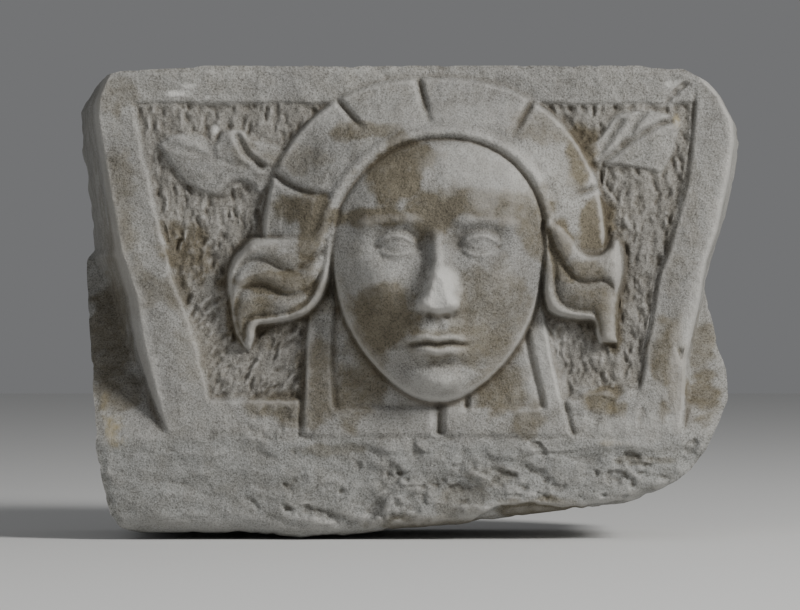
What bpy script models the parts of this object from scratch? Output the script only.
# Marble console (a corbel block) whose front carries a hooded head in high relief.
# Metres, +Z up, the carved front looks toward -Y.
# The origin is on the flat back bed, at the middle of the block's width and height.
# The carving is worked out as a height above or below the flat border of the front.

import math

import bmesh
import bpy
import numpy as np

# The block
BLOCK_WIDTH = 0.420
BLOCK_HEIGHT = 0.304
BLOCK_DEPTH = 0.155
BACK_MARGIN = 0.022
BACK_WIDENING = 0.0543
NARROWEST_FLANK = 0.0045
ARRIS_ROUNDING = 0.13
ARRIS_WEAR = 0.0016
ARRIS_WEAR_WIDTH = 0.0040

# The sunk field inside the border
FIELD_DEPTH = 0.0062
FIELD_TOP_DEPTH = 0.0044
FIELD_WALL_WIDTH = 0.0046
TOP_BORDER_WIDTH = 0.0225
FOOT_BORDER_WIDTH = 0.0220

# The coved shoulders beside the panel, and the rough bed under it
SHOULDER_DEPTH = 0.105
LEFT_SHOULDER_HEIGHT = 0.117
RIGHT_SHOULDER_HEIGHT = 0.097
ROUGH_BED_HEIGHT = 0.066
ROUGH_BED_SLOPE = 0.14
ROUGH_BED_ROLL = 0.018
ROUGH_BED_ROLL_WIDTH = 0.013
ROUGH_BED_HOLLOW = 0.0020
ROUGH_BED_HOLLOW_LENGTH = 0.026
ROUGH_BED_HOLLOW_START = 0.012

# The head: its height from hairline to chin, and the place of its middle
HEAD_HEIGHT = 0.175
HEAD_X = 0.0173
HEAD_Z = 0.0224
JAW_EDGE_RISE = 0.0060
FOREHEAD_EDGE_RISE = 0.0185
FACE_RISE = 0.038
OPENING_LEAN = 0.050

# The hood
HOOD_RADIUS = 0.1122
HOOD_ROLL_RISE = 0.0225
HOOD_BRIM_RISE = 0.0045
PLEAT_DEPTH = 0.0048
PLEAT_WIDTH = 0.0044

# The locks of hair
LOCK_RISE = 0.0185
LOCK_EDGE_WIDTH = 0.0034
LOCK_EDGE_DEPTH = 0.0050
STRAND_CROWN = 0.0042

# The collar and the leaves
COLLAR_RISE = 0.0012
COLLAR_FOLD_DEPTH = 0.0064
COLLAR_CUT_WIDTH = 0.0036
COLLAR_CUT_DEPTH = 0.0022
NECK_SINK = 0.0014
NECK_SEAM_DEPTH = 0.0040
LEAF_RISE = 0.0044
LEAF_CROWN = 0.0014
LEAF_VEIN_DEPTH = 0.0028
LEAF_VEIN_WIDTH = 0.0048

# The mesh
GRID_STEP = 0.0015
FACES_KEPT = 9300

# The broken outline of the block, as shares of half its width and half its height.
LEFT_EDGE = [(-0.846, -0.973), (-0.887, -0.950), (-0.917, -0.890), (-0.936, -0.787), (-0.960, -0.619),
             (-0.971, -0.296), (-0.984, 0.012), (-0.988, 0.189), (-0.962, 0.232), (-0.975, 0.434),
             (-0.997, 0.686), (-1.004, 0.840), (-0.972, 0.925)]
RIGHT_EDGE = [(0.780, -0.788), (0.853, -0.703), (0.899, -0.619), (0.942, -0.493), (0.966, -0.409),
              (0.963, -0.282), (0.932, -0.156), (0.897, 0.064), (0.914, 0.181), (0.948, 0.307),
              (0.987, 0.560), (1.000, 0.686), (0.996, 0.770), (0.960, 0.868)]
TOP_EDGE = [(-0.972, 0.925), (-0.925, 0.962), (-0.887, 0.977), (-0.740, 0.988), (-0.631, 1.000),
            (0.700, 1.000), (0.832, 0.985), (0.899, 0.939), (0.960, 0.868)]
FOOT_EDGE = [(-0.846, -0.973), (-0.814, -0.977), (-0.521, -0.977), (-0.338, -0.998), (-0.192, -0.989),
             (-0.046, -0.960), (0.137, -0.943), (0.283, -0.914), (0.466, -0.880), (0.649, -0.851),
             (0.780, -0.788)]

# Lines that run down the panel, as pairs of height share and width share.
LEFT_ARRIS = [(-0.580, -0.733), (-0.396, -0.771), (-0.186, -0.810), (0.025, -0.834), (0.224, -0.880),
              (0.434, -0.908), (0.780, -0.950), (0.870, -0.945), (0.950, -0.920), (1.000, -0.900)]
LEFT_FIELD_LINE = [(-0.425, -0.622), (-0.186, -0.658), (0.025, -0.710), (0.223, -0.756), (0.434, -0.790),
                   (0.842, -0.856)]
RIGHT_FIELD_LINE = [(-0.800, 0.620), (-0.600, 0.680), (-0.337, 0.707), (-0.173, 0.725), (-0.029, 0.747),
                    (0.114, 0.762), (0.229, 0.791), (0.354, 0.818), (0.497, 0.846), (0.640, 0.860),
                    (0.899, 0.874)]
RIGHT_ARRIS = [(-0.800, 0.705), (-0.700, 0.775), (-0.560, 0.826), (-0.400, 0.832), (-0.232, 0.836),
               (-0.126, 0.853), (0.018, 0.876), (0.084, 0.882), (0.181, 0.896), (0.307, 0.928),
               (0.560, 0.966), (0.686, 0.978), (0.770, 0.973), (0.868, 0.936), (0.940, 0.885), (1.000, 0.845)]

# Where the grid's columns and rows meet those lines, as shares of the grid.
COLUMN_SHARES = (0.0, 0.064, 0.121, 0.918, 0.959, 1.0)
ROW_SHARES = (0.0, 0.190, 0.264, 0.923, 1.0)

# The carving, as shares of half the head's height, measured from the head's middle.
FACE_HALF_WIDTH = 0.789
HOOD_CENTRE = (-0.030, 0.131)
HOOD_SECTION = [(0.0, 0.70), (0.03, 0.86), (0.07, 0.98), (0.12, 1.00), (0.17, 0.94), (0.21, 0.83),
                (0.26, 0.79), (0.36, 0.74), (0.52, 0.55), (0.70, 0.27), (0.86, 0.08), (0.94, 0.06),
                (1.0, 0.0)]
HOOD_END = [(-1.34, 0.04), (-0.90, 0.14), (-0.60, 0.20), (0.60, 0.36), (0.84, 0.25), (0.96, 0.12),
            (1.06, 0.02), (1.20, 0.02), (1.34, 0.08)]
NECK_TENDON = 0.208
PLEATS = [[(-1.280, 0.753), (-1.110, 0.620), (-0.960, 0.555), (-0.800, 0.525)],
          [(-0.770, 1.270), (-0.560, 1.020)],
          [(-0.150, 1.415), (-0.070, 1.080)],
          [(0.725, 1.290), (0.550, 0.960)],
          [(1.265, 0.630), (0.970, 0.520)]]
# Each lock is its upper edge, the creases between its strands, and the edge of its rim, root to tip.
LEFT_LOCK = [[(-0.851, 0.363), (-0.949, 0.254), (-1.107, 0.227), (-1.266, 0.215), (-1.357, 0.199),
              (-1.430, 0.144), (-1.491, 0.071), (-1.529, -0.027), (-1.536, -0.137), (-1.519, -0.283),
              (-1.500, -0.405), (-1.467, -0.496), (-1.424, -0.569), (-1.381, -0.606)],
             [(-0.827, 0.132), (-0.912, 0.077), (-0.997, 0.010), (-1.083, -0.021), (-1.168, 0.004),
              (-1.253, 0.052), (-1.339, 0.068), (-1.424, 0.037), (-1.487, -0.051), (-1.515, -0.185),
              (-1.503, -0.356), (-1.461, -0.496), (-1.384, -0.600)],
             [(-0.833, 0.022), (-0.900, -0.100), (-0.991, -0.173), (-1.083, -0.200), (-1.162, -0.173),
              (-1.247, -0.130), (-1.339, -0.118), (-1.418, -0.149), (-1.473, -0.234), (-1.483, -0.356),
              (-1.448, -0.496), (-1.383, -0.601)],
             [(-0.778, 0.497), (-0.812, 0.351), (-0.833, 0.205), (-0.844, 0.046), (-0.866, -0.069),
              (-0.905, -0.171), (-0.958, -0.249), (-1.024, -0.301), (-1.113, -0.335), (-1.229, -0.356),
              (-1.333, -0.363), (-1.390, -0.388), (-1.412, -0.453), (-1.402, -0.539), (-1.381, -0.603)],
             [(-0.687, 0.546), (-0.723, 0.375), (-0.751, 0.217), (-0.772, 0.083), (-0.799, -0.063),
              (-0.839, -0.185), (-0.900, -0.283), (-0.985, -0.350), (-1.107, -0.386), (-1.229, -0.410),
              (-1.300, -0.419), (-1.331, -0.447), (-1.346, -0.514), (-1.381, -0.606)]]
RIGHT_LOCK = [[(0.829, 0.435), (0.856, 0.362), (0.929, 0.299), (0.999, 0.217), (1.040, 0.140),
              (1.106, 0.096), (1.190, 0.100), (1.258, 0.147), (1.305, 0.184), (1.333, 0.111),
              (1.342, 0.027), (1.335, -0.088), (1.314, -0.171), (1.307, -0.255), (1.304, -0.401),
              (1.306, -0.474), (1.308, -0.548)],
              [(0.811, 0.267), (0.840, 0.173), (0.882, 0.095), (0.929, 0.015), (0.986, -0.062),
              (1.059, -0.100), (1.143, -0.092), (1.216, -0.083), (1.266, -0.114), (1.298, -0.182),
              (1.301, -0.276), (1.300, -0.401), (1.303, -0.474), (1.306, -0.545)],
              [(0.819, 0.142), (0.845, 0.048), (0.857, -0.046), (0.859, -0.130), (0.875, -0.213),
              (0.923, -0.274), (1.007, -0.312), (1.091, -0.320), (1.145, -0.336), (1.174, -0.401),
              (1.187, -0.485), (1.206, -0.539)],
              [(0.773, 0.309), (0.769, 0.163), (0.767, 0.027), (0.769, -0.088), (0.775, -0.192),
              (0.798, -0.281), (0.845, -0.328), (0.913, -0.351), (1.018, -0.372), (1.117, -0.378),
              (1.149, -0.408), (1.160, -0.485), (1.185, -0.548)]]
LEFT_STRANDS = (0.012, 0.0, -0.020, 0.012)
RIGHT_STRANDS = (0.016, -0.010, 0.004)
LOCK_ROOT = 0.30
LOCK_FALL = 0.17
LOCK_SIDE = 3.4
STRAND_SWELL = 0.42
LEFT_LEAF = [(-2.070, 0.914), (-2.004, 0.958), (-1.917, 0.995), (-1.814, 1.002), (-1.712, 0.980),
             (-1.646, 0.921), (-1.595, 1.002), (-1.507, 1.031), (-1.426, 1.017), (-1.331, 0.958),
             (-1.120, 0.880), (-1.100, 0.753), (-1.180, 0.640), (-1.290, 0.530), (-1.405, 0.585),
             (-1.478, 0.578), (-1.551, 0.519), (-1.682, 0.527), (-1.799, 0.578), (-1.887, 0.636),
             (-1.990, 0.775)]
LEFT_VEINS = [([(-1.240, 0.745), (-1.420, 0.745), (-1.700, 0.820), (-1.960, 0.900)], 0.35),
              ([(-1.290, 0.745), (-1.405, 0.848), (-1.470, 0.975)], 1.0),
              ([(-1.640, 0.850), (-1.720, 0.930), (-1.840, 0.985)], 0.5),
              ([(-1.609, 0.500), (-1.536, 0.585), (-1.448, 0.620), (-1.360, 0.590)], 0.8)]
RIGHT_LEAF = [(1.080, 0.753), (1.060, 0.892), (1.184, 0.987), (1.265, 1.104), (1.352, 1.155),
              (1.528, 1.170), (1.645, 1.155), (1.754, 1.111), (1.791, 1.053), (1.754, 0.914),
              (1.718, 0.804), (1.645, 0.680), (1.586, 0.658), (1.550, 0.687), (1.316, 0.731)]
RIGHT_VEINS = [([(1.195, 0.770), (1.400, 0.923), (1.565, 1.024), (1.700, 1.080)], 1.0),
               ([(1.433, 1.010), (1.448, 1.090), (1.520, 1.150)], 0.9),
               ([(1.284, 0.930), (1.284, 1.005), (1.335, 1.075)], 0.7),
               ([(1.218, 0.735), (1.400, 0.706), (1.534, 0.698), (1.600, 0.675)], 0.7)]
COLLAR_LEFT_OUTER = [(-0.960, -0.250), (-0.985, -0.550), (-1.009, -1.240)]
COLLAR_LEFT_INNER = [(-0.740, -0.250), (-0.765, -0.690), (-0.747, -1.025)]
COLLAR_RIGHT_INNER = [(0.600, -0.250), (0.673, -0.605), (0.768, -1.003)]
COLLAR_RIGHT_OUTER = [(0.780, -0.250), (0.863, -0.710), (0.966, -1.150), (1.002, -1.240)]


def smooth(low, high, value):
    """0 below low and 1 above high, with a soft passage between."""
    t = np.clip((value - low) / (high - low), 0.0, 1.0)
    return t * t * (3.0 - 2.0 * t)


def bump(value, centre, spread):
    """A bell of height 1 around the centre."""
    return np.exp(-((value - centre) / spread) ** 2)


def line_at(pairs, where):
    """Reads a line given as pairs of position and value."""
    table = np.array(pairs)
    return np.interp(where, table[:, 0], table[:, 1])


def curve(points, steps=6):
    """A smooth curve through the points."""
    p = np.array(points, dtype=float)
    p = np.vstack([2.0 * p[0] - p[1], p, 2.0 * p[-1] - p[-2]])
    t = np.linspace(0.0, 1.0, steps, endpoint=False)[:, None]
    runs = []
    for i in range(1, len(p) - 2):
        before, here, there, after = p[i - 1], p[i], p[i + 1], p[i + 2]
        runs.append(0.5 * (2.0 * here + (there - before) * t
                           + (2.0 * before - 5.0 * here + 4.0 * there - after) * t ** 2
                           + (3.0 * here - before - 3.0 * there + after) * t ** 3))
    runs.append(p[-2][None, :])
    return np.vstack(runs)


def path_distance(path, a, b):
    """Distance to a path of straight runs, and how far along it the nearest point lies."""
    nearest = np.full(a.shape, 1.0e9)
    along = np.zeros(a.shape)
    lengths = np.hypot(np.diff(path[:, 0]), np.diff(path[:, 1]))
    passed = 0.0
    for i in range(len(lengths)):
        da, db = path[i + 1] - path[i]
        t = np.clip(((a - path[i, 0]) * da + (b - path[i, 1]) * db) / (lengths[i] ** 2 + 1e-15), 0.0, 1.0)
        gap = np.hypot(a - path[i, 0] - t * da, b - path[i, 1] - t * db)
        closer = gap < nearest
        nearest = np.where(closer, gap, nearest)
        along = np.where(closer, passed + t * lengths[i], along)
        passed += lengths[i]
    return nearest, along / passed


def is_inside(outline, a, b):
    """Which points lie inside a closed outline."""
    result = np.zeros(a.shape, dtype=bool)
    a1, b1 = outline[-1]
    for a2, b2 in outline:
        if b1 != b2:
            result ^= ((b1 > b) != (b2 > b)) & (a < (a2 - a1) * (b - b1) / (b2 - b1) + a1)
        a1, b1 = a2, b2
    return result


def waves(x, z, length, seed):
    """Soft unevenness between -1 and 1, from a lattice of seeded values."""
    values = np.random.default_rng(seed).uniform(-1.0, 1.0, (64, 64))
    u = x / length + 31.3
    v = z / length + 29.7
    i = np.floor(u).astype(int)
    j = np.floor(v).astype(int)
    s = smooth(0.0, 1.0, u - i)
    t = smooth(0.0, 1.0, v - j)
    low = values[i % 64, j % 64] * (1.0 - s) + values[(i + 1) % 64, j % 64] * s
    high = values[i % 64, (j + 1) % 64] * (1.0 - s) + values[(i + 1) % 64, (j + 1) % 64] * s
    return low * (1.0 - t) + high * t


def column_lines(z):
    """The two outer edges, the two arrises and the two sides of the field, from left to right."""
    share = z / (BLOCK_HEIGHT / 2.0)
    left_edge = line_at([(up, out) for out, up in LEFT_EDGE], share)
    right_edge = line_at([(up, out) for out, up in RIGHT_EDGE], share)
    lines = [left_edge, line_at(LEFT_ARRIS, share), line_at(LEFT_FIELD_LINE, share),
             line_at(RIGHT_FIELD_LINE, share), line_at(RIGHT_ARRIS, share), right_edge]
    return [line * BLOCK_WIDTH / 2.0 for line in lines]


def row_lines(x):
    """The foot, the ledge, the foot and the top of the field, and the top of the block."""
    share = x / (BLOCK_WIDTH / 2.0)
    ledge = ROUGH_BED_HEIGHT - BLOCK_HEIGHT / 2.0
    field_top = BLOCK_HEIGHT / 2.0 - TOP_BORDER_WIDTH
    foot = line_at(FOOT_EDGE, share) * BLOCK_HEIGHT / 2.0
    top = line_at(TOP_EDGE, share) * BLOCK_HEIGHT / 2.0
    return [foot, ledge, ledge + FOOT_BORDER_WIDTH, field_top, top]


def block_height(x, z):
    """The border, the flanks, the shoulders and the rough bed."""
    flank_depth = BLOCK_DEPTH - BACK_MARGIN
    ledge = ROUGH_BED_HEIGHT - BLOCK_HEIGHT / 2.0
    left_top = ledge + LEFT_SHOULDER_HEIGHT
    right_top = ledge + RIGHT_SHOULDER_HEIGHT
    lines = column_lines(z)
    left_lines = column_lines(np.maximum(z, left_top))
    right_lines = column_lines(np.maximum(z, right_top))
    out_left = (lines[1] - x) / np.maximum(left_lines[1] - left_lines[0], NARROWEST_FLANK)
    out_right = (x - lines[4]) / np.maximum(right_lines[5] - right_lines[4], NARROWEST_FLANK)
    out = np.clip(np.maximum(out_left, out_right), 0.0, 1.0)
    round_to = ARRIS_ROUNDING
    flank = -flank_depth * (np.hypot(out, round_to) - round_to) / (math.hypot(1.0, round_to) - round_to)
    shoulder_top = np.where(x < 0.0, left_top, right_top)
    fall = np.clip((shoulder_top - z) / (shoulder_top - ledge), 0.0, 1.0)
    shoulder = -SHOULDER_DEPTH * (1.0 - fall) ** 1.15
    shoulder = np.where(z > shoulder_top, -flank_depth, shoulder)
    height = np.maximum(flank, shoulder)
    below = np.maximum(ledge - z, 0.0)
    rough = -ROUGH_BED_SLOPE * below
    hollow = ROUGH_BED_HOLLOW * waves(x, z * 1.5, ROUGH_BED_HOLLOW_LENGTH, 3)
    rough += smooth(0.0, ROUGH_BED_HOLLOW_START, below) * hollow
    return np.where(z < ledge, rough, height)


def field_inside(x, z):
    """How far inside the sunk field a point lies, in metres."""
    columns = column_lines(z)
    rows = row_lines(x)
    return np.minimum(np.minimum(x - columns[2], columns[3] - x), np.minimum(rows[3] - z, z - rows[2]))


def field_floor(z):
    """How deep the field was sunk; it gets shallower toward the top."""
    shallower = smooth(HEAD_Z + HEAD_HEIGHT / 4.0, BLOCK_HEIGHT / 2.0 - TOP_BORDER_WIDTH, z)
    return FIELD_DEPTH + (FIELD_TOP_DEPTH - FIELD_DEPTH) * shallower


def face_ring(a, b):
    """1 on the outline of the face, less inside it and more outside."""
    up = np.where(b > 0.12, (b - 0.12) / 0.82, (b - 0.12) / 1.12)
    jaw = np.minimum(up, 0.0)
    narrowing = 1.0 - 0.13 * jaw ** 2 - 0.10 * jaw ** 4
    lean = OPENING_LEAN * smooth(0.10, 1.00, b)
    return (np.abs((a - lean) / (FACE_HALF_WIDTH * narrowing)) ** 2.1 + np.abs(up) ** 2.1) ** (1.0 / 2.1)


def face_features(a, b):
    """Brow, eyes, nose, mouth, cheeks and chin, as shares of half the head's height."""
    side = np.abs(a)
    brow_line = 0.352 - 0.34 * (side - 0.27) ** 2
    form = 0.044 * bump(b, brow_line, 0.062) * smooth(0.03, 0.22, side) * (1.0 - smooth(0.50, 0.72, side))
    form -= 0.090 * bump(side, 0.300, 0.185) * bump(b, 0.180, 0.095)
    form -= 0.030 * bump(side, 0.130, 0.058) * bump(b, 0.175, 0.080)
    form -= 0.034 * bump(side, 0.69, 0.12) * bump(b, 0.40, 0.20)
    form += 0.064 * bump(side, 0.44, 0.19) * bump(b, -0.12, 0.19)
    form -= 0.030 * bump(side, 0.40, 0.13) * bump(b, -0.48, 0.17)
    # The eyeball, with a lid laid over it above and below
    radius = np.hypot(side - 0.316, b - 0.155)
    ball = np.sqrt(np.clip(0.175 ** 2 - radius ** 2, 0.0, None)) - 0.160
    lid = np.where(radius < 0.175, ball + 0.022, -0.2)
    form = 0.5 * (form + lid + np.sqrt((form - lid) ** 2 + 0.010 ** 2))
    t = np.clip((side - 0.312) / 0.158, -1.0, 1.0)
    upper = 0.150 + 0.070 * (1.0 - t ** 2)
    lower = 0.150 - 0.050 * (1.0 - t ** 2)
    opening = smooth(0.0, 0.012, upper - b) * smooth(0.0, 0.012, b - lower)
    form = form + (ball - 0.006 - form) * opening
    crease = bump(b, upper + 0.042, 0.012) * (1.0 - smooth(0.6, 1.0, np.abs(t)))
    form -= 0.012 * crease
    # The nose
    bridge_width = 0.064 + 0.060 * smooth(0.10, -0.26, b)
    bridge = 0.036 + 0.165 * smooth(0.30, -0.24, b) ** 0.85
    ridge = bridge * np.exp(-(side / bridge_width) ** 2.3) * smooth(0.36, 0.22, b) * smooth(-0.360, -0.280, b)
    form += np.minimum(ridge, 0.160)
    form += 0.078 * bump(side, 0.120, 0.048) * bump(b, -0.262, 0.050)
    form -= 0.040 * bump(side, 0.062, 0.026) * bump(b, -0.345, 0.022)
    form -= 0.020 * bump(side, 0.205, 0.050) * bump(b, -0.330, 0.100)
    # The mouth and the chin
    form += 0.060 * bump(side, 0.0, 0.27) * bump(b, -0.545, 0.140)
    form -= 0.016 * bump(side, 0.0, 0.030) * smooth(-0.50, -0.45, b) * smooth(-0.34, -0.38, b)
    mouth_line = -0.560 + 0.014 * bump(side, 0.090, 0.060)
    lips = 1.0 - smooth(0.12, 0.260, side)
    form += 0.046 * lips * bump(b, mouth_line + 0.046, 0.030)
    form += 0.060 * lips * bump(side, 0.0, 0.19) * bump(b, mouth_line - 0.056, 0.036)
    form -= 0.044 * (1.0 - smooth(0.17, 0.270, side)) * bump(b, mouth_line, 0.014)
    form -= 0.042 * bump(side, 0.0, 0.20) * bump(b, -0.700, 0.042)
    form += 0.095 * bump(side, 0.0, 0.21) * bump(b, -0.850, 0.115)
    return form


def lay_face(height, a, b):
    """Sets the head into the hood, close under its roll above and well in front of the neck below."""
    ring = face_ring(a, b)
    half = HEAD_HEIGHT / 2.0
    edge_rise = JAW_EDGE_RISE + (FOREHEAD_EDGE_RISE - JAW_EDGE_RISE) * smooth(-0.25, 0.40, b)
    dome = (1.0 - np.clip(ring, 0.0, 1.0) ** 2.5) ** 0.76
    skin = edge_rise + (FACE_RISE - edge_rise) * dome
    skin = skin + half * face_features(a, b) * smooth(1.0, 0.84, ring)
    return height + (skin - height) * smooth(1.0, 0.965, ring)


def lay_hood(height, a, b):
    """The pleated brim around the face, with its roll next to the face."""
    half = HEAD_HEIGHT / 2.0
    da = np.abs(a - HOOD_CENTRE[0])
    db = np.abs(b - HOOD_CENTRE[1])
    radius = (da ** 2.3 + db ** 2.3) ** (1.0 / 2.3)
    outer_gap = HOOD_RADIUS / half - radius
    inner_gap = (face_ring(a, b) - 1.0) * 0.84
    across = np.clip(inner_gap, 0.0, None) / (np.clip(inner_gap, 0.0, None) + np.clip(outer_gap, 1e-4, None))
    brim = HOOD_BRIM_RISE + (HOOD_ROLL_RISE - HOOD_BRIM_RISE) * line_at(HOOD_SECTION, across)
    for pleat in PLEATS:
        gap, along = path_distance(curve(pleat), a, b)
        cut = np.exp(-(gap * half / (PLEAT_WIDTH / 2.0)) ** 2) * (1.0 - 0.6 * smooth(0.6, 1.0, along))
        brim = brim - PLEAT_DEPTH * cut
    covers = outer_gap > 0.0
    lower_end = line_at(HOOD_END, a)
    edge = smooth(0.0, 0.050, outer_gap) * smooth(lower_end - 0.06, lower_end + 0.07, b)
    return np.where(covers, height + (brim - height) * edge, height)


def lies_under(path, a, b):
    """Which points lie under a path of straight runs, seen from its nearest run."""
    nearest = np.full(a.shape, 1.0e9)
    under = np.zeros(a.shape, dtype=bool)
    way = np.sign(path[-1, 0] - path[0, 0])
    for i in range(len(path) - 1):
        da, db = path[i + 1] - path[i]
        t = np.clip(((a - path[i, 0]) * da + (b - path[i, 1]) * db) / (da ** 2 + db ** 2 + 1e-15), 0.0, 1.0)
        gap = np.hypot(a - path[i, 0] - t * da, b - path[i, 1] - t * db)
        closer = gap < nearest
        nearest = np.where(closer, gap, nearest)
        under = np.where(closer, way * (da * (b - path[i, 1]) - db * (a - path[i, 0])) < 0.0, under)
    return under


def lay_lock(height, a, b, lock, strands):
    """A lock of hair: strands that swing out from under the hood and hook down to one tip."""
    half = HEAD_HEIGHT / 2.0
    paths = [curve(path, 4) for path in lock]
    outline = np.vstack([paths[0], paths[-1][::-1], paths[0][:1]])
    low = outline.min(axis=0)
    high = outline.max(axis=0)
    reach = LOCK_RISE / half / LOCK_SIDE
    near = (a > low[0] - reach) & (a < high[0] + reach) & (b > low[1] - reach) & (b < high[1] + reach)
    a_near, b_near = a[near], b[near]
    gaps = [path_distance(path, a_near, b_near)[0] for path in paths]
    to_edge = path_distance(outline, a_near, b_near)[0]
    inside = is_inside(outline[:-1], a_near, b_near)
    from_root = np.hypot(a_near - paths[-1][0, 0], b_near - LOCK_ROOT)
    hair = np.zeros(a_near.shape)
    for i, rise in enumerate(strands):
        width = gaps[i] + gaps[i + 1]
        share = gaps[i] / (width + 1e-6)
        section = np.where(inside, (4.0 * share * (1.0 - share)) ** 0.65, 0.0)
        crest = rise + np.minimum(STRAND_SWELL * width, STRAND_CROWN / half) * section
        under = lies_under(paths[i], a_near, b_near) if i else True
        hair = np.where(under, crest, hair)
    hair = hair + LOCK_RISE / half - LOCK_FALL * from_root
    inward = np.where(inside, np.clip(1.0 - to_edge * half / LOCK_EDGE_WIDTH, 0.0, 1.0), 1.0)
    hair = hair * half - LOCK_EDGE_DEPTH * (1.0 - np.sqrt(1.0 - inward ** 2))
    hair = hair - np.where(inside, 0.0, LOCK_SIDE * to_edge * half)
    result = height.copy()
    result[near] = np.maximum(height[near], hair)
    return result


def lay_leaf(height, a, b, outline, veins):
    """A flat leaf with grooves for its veins."""
    half = HEAD_HEIGHT / 2.0
    rim = curve(outline + outline[:1], 4)
    gap, along = path_distance(rim, a, b)
    inside = is_inside(rim, a, b)
    blade = LEAF_RISE - field_floor(b * half + HEAD_Z) + LEAF_CROWN * smooth(0.0, 0.20, gap)
    for vein, share in veins:
        vein_gap, vein_along = path_distance(curve(vein), a, b)
        blade = blade - share * LEAF_VEIN_DEPTH * np.exp(-(vein_gap * half / (LEAF_VEIN_WIDTH / 2.0)) ** 2)
    edge = smooth(0.0, 0.038, gap)
    return np.where(inside, height + (blade - height) * edge, height)


def lay_collar(height, a, b):
    """The neck and the two upright bands of the garment, which meet in front in one fold."""
    half = HEAD_HEIGHT / 2.0
    reach = (b < -0.08) & (b > -1.240)
    ends = smooth(-1.240, -1.215, b) * smooth(-0.08, -0.26, b)
    lines = []
    for line in (COLLAR_LEFT_OUTER, COLLAR_LEFT_INNER, COLLAR_RIGHT_INNER, COLLAR_RIGHT_OUTER):
        pairs = sorted((place, side) for side, place in line)
        lines.append(line_at(pairs, b))
    left_outer, left_inner, right_inner, right_outer = lines
    covers = (a > left_outer) & (a < right_outer) & reach
    rim = np.minimum(a - left_outer, right_outer - a)
    on_neck = smooth(0.0, 0.030, a - left_inner) * smooth(0.0, 0.030, right_inner - a)
    on_neck = on_neck * smooth(-1.045, -1.005, b)
    cloth = COLLAR_RISE - (COLLAR_RISE + NECK_SINK) * on_neck
    beside = np.minimum(np.abs(a - left_inner), np.abs(a - right_inner))
    seam = np.exp(-(beside * half / (COLLAR_CUT_WIDTH / 2.0)) ** 2) * smooth(-1.06, -1.00, b)
    cloth = cloth - NECK_SEAM_DEPTH * seam
    tendon = np.exp(-((a - NECK_TENDON) * half / (COLLAR_CUT_WIDTH / 2.0)) ** 2)
    cloth = cloth - NECK_SEAM_DEPTH * tendon * smooth(-1.05, -1.01, b) * smooth(-0.70, -0.84, b)
    fold = bump(a, 0.010, 0.034) * smooth(-1.235, -1.205, b) * smooth(-0.94, -1.00, b)
    cloth = cloth - COLLAR_FOLD_DEPTH * fold
    edge = smooth(0.0, 0.035, rim) * ends
    height = np.where(covers, height + (cloth - height) * edge, height)
    outside = np.minimum(np.abs(a - left_outer), np.abs(a - right_outer))
    cut = np.exp(-(outside * half / (COLLAR_CUT_WIDTH / 2.0)) ** 2) * reach * ends * smooth(-1.03, -1.10, b)
    return height - COLLAR_CUT_DEPTH * cut


def relief(x, z):
    """Height of the worked front above the border's face."""
    height = block_height(x, z)
    depth_in_field = field_inside(x, z)
    sunk = smooth(0.0, FIELD_WALL_WIDTH, depth_in_field)
    height = height + (-field_floor(z) - height) * sunk
    half = HEAD_HEIGHT / 2.0
    a = (x - HEAD_X) / half
    b = (z - HEAD_Z) / half
    height = lay_leaf(height, a, b, LEFT_LEAF, LEFT_VEINS)
    height = lay_leaf(height, a, b, RIGHT_LEAF, RIGHT_VEINS)
    height = lay_collar(height, a, b)
    height = lay_hood(height, a, b)
    height = lay_lock(height, a, b, LEFT_LOCK, LEFT_STRANDS)
    height = lay_lock(height, a, b, RIGHT_LOCK, RIGHT_STRANDS)
    return lay_face(height, a, b)


def between(shares, lines, where):
    """Runs evenly from each line to the next as where passes from one share to the next."""
    result = lines[0]
    for i in range(len(shares) - 1):
        t = np.clip((where - shares[i]) / (shares[i + 1] - shares[i]), 0.0, 1.0)
        result = result + (lines[i + 1] - lines[i]) * t
    return result


def front_points(u, v):
    """Spreads an even grid over the front, with columns and rows on its edges and arrises."""
    x = (2.0 * u - 1.0) * BLOCK_WIDTH / 2.0
    for turn in range(16):
        z = between(ROW_SHARES, row_lines(x), v)
        x = between(COLUMN_SHARES, column_lines(z), u)
    return x, z


def softened(grid):
    """Evens out a grid of values with its nearest neighbours, as a rubbed surface is."""
    padded = np.pad(grid, 1, mode="edge")
    rows, columns = grid.shape
    return sum(padded[i:i + rows, j:j + columns] for i in range(3) for j in range(3)) / 9.0


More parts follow.
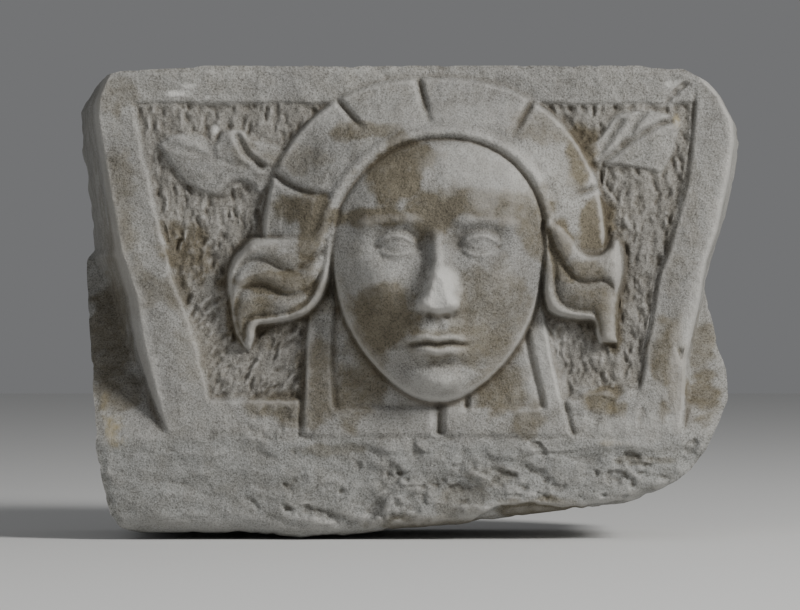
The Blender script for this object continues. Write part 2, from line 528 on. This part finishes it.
def shape_front(mesh, columns, rows):
    """Moves the vertices of a flat grid to the carved front."""
    count = len(mesh.vertices)
    flat = np.empty(count * 3)
    mesh.vertices.foreach_get("co", flat)
    flat = flat.reshape(count, 3)
    column = np.rint((flat[:, 0] + 1.0) / 2.0 * columns).astype(int)
    row = np.rint((flat[:, 1] + 1.0) / 2.0 * rows).astype(int)
    u, v = np.meshgrid(np.arange(columns + 1) / columns, np.arange(rows + 1) / rows)
    x, z = front_points(u, v)
    height = softened(relief(x, z))
    to_top = (1.0 - v) * BLOCK_HEIGHT
    to_foot = v * BLOCK_HEIGHT
    to_side = np.minimum(u, 1.0 - u) * BLOCK_WIDTH
    worn = 1.0 - smooth(0.0, ARRIS_WEAR_WIDTH, np.minimum(to_top, to_side))
    height = height - ARRIS_WEAR * worn
    roll = 1.0 - np.clip(to_foot / ROUGH_BED_ROLL_WIDTH, 0.0, 1.0)
    height = height - ROUGH_BED_ROLL * (1.0 - np.sqrt(1.0 - roll ** 2))
    height = np.maximum(height, -(BLOCK_DEPTH - BACK_MARGIN / 2.0))
    solid = np.empty((count, 3))
    solid[:, 0] = (x * (1.0 - BACK_WIDENING * height / BLOCK_DEPTH))[row, column]
    solid[:, 1] = -(BLOCK_DEPTH + height)[row, column]
    solid[:, 2] = z[row, column]
    mesh.vertices.foreach_set("co", solid.ravel())
    mesh.update()


def thin_out(body):
    """Joins faces where the surface is flat, and returns the plain mesh."""
    faces = sum(len(face.vertices) - 2 for face in body.data.polygons)
    fewer = body.modifiers.new("Fewer faces", "DECIMATE")
    fewer.decimate_type = "COLLAPSE"
    fewer.ratio = min(1.0, FACES_KEPT / faces)
    graph = bpy.context.evaluated_depsgraph_get()
    mesh = bpy.data.meshes.new_from_object(body.evaluated_get(graph))
    body.modifiers.clear()
    return mesh


def build_console(collection):
    """The carved front is a grid; its rim is drawn back to the flat bed and closed there."""
    mesh = bpy.data.meshes.new("console")
    body = bpy.data.objects.new("console", mesh)
    collection.objects.link(body)
    columns = round(BLOCK_WIDTH / GRID_STEP)
    rows = round(BLOCK_HEIGHT / GRID_STEP)
    form = bmesh.new()
    bmesh.ops.create_grid(form, x_segments=columns, y_segments=rows, size=1.0)
    form.to_mesh(mesh)
    form.free()
    shape_front(mesh, columns, rows)

    form = bmesh.new()
    form.from_mesh(mesh)
    rim = [edge for edge in form.edges if edge.is_boundary]
    drawn = bmesh.ops.extrude_edge_only(form, edges=rim)
    for item in drawn["geom"]:
        if isinstance(item, bmesh.types.BMVert):
            item.co.y = 0.0
    form.to_mesh(mesh)
    form.free()

    thin = thin_out(body)
    form = bmesh.new()
    form.from_mesh(thin)
    for vert in form.verts:
        if vert.is_boundary:
            vert.co.y = 0.0
        if abs(vert.co.z - BLOCK_HEIGHT / 2.0) < 0.0004:
            vert.co.z = BLOCK_HEIGHT / 2.0
    rim = [edge for edge in form.edges if edge.is_boundary]
    bmesh.ops.holes_fill(form, edges=rim, sides=0)
    bmesh.ops.triangulate(form, faces=form.faces[:])
    bmesh.ops.dissolve_degenerate(form, dist=0.00002, edges=form.edges[:])
    bmesh.ops.recalc_face_normals(form, faces=form.faces[:])
    form.to_mesh(thin)
    form.free()
    body.data = thin
    bpy.data.meshes.remove(mesh)
    thin.name = "console"
    thin.shade_smooth()
    thin.set_sharp_from_angle(angle=math.radians(40.0))
    return body


def marble():
    """Light grey marble with a dull, weathered surface."""
    material = bpy.data.materials.new("marble")
    material.use_nodes = True
    surface = material.node_tree.nodes["Principled BSDF"]
    surface.inputs["Base Color"].default_value = (0.42, 0.40, 0.36, 1.0)
    surface.inputs["Roughness"].default_value = 0.78
    surface.inputs["Metallic"].default_value = 0.0
    return material


for old in list(bpy.data.objects):
    bpy.data.objects.remove(old, do_unlink=True)

console_parts = bpy.data.collections.new("stone_console")
bpy.context.scene.collection.children.link(console_parts)
console = build_console(console_parts)
console.data.materials.append(marble())
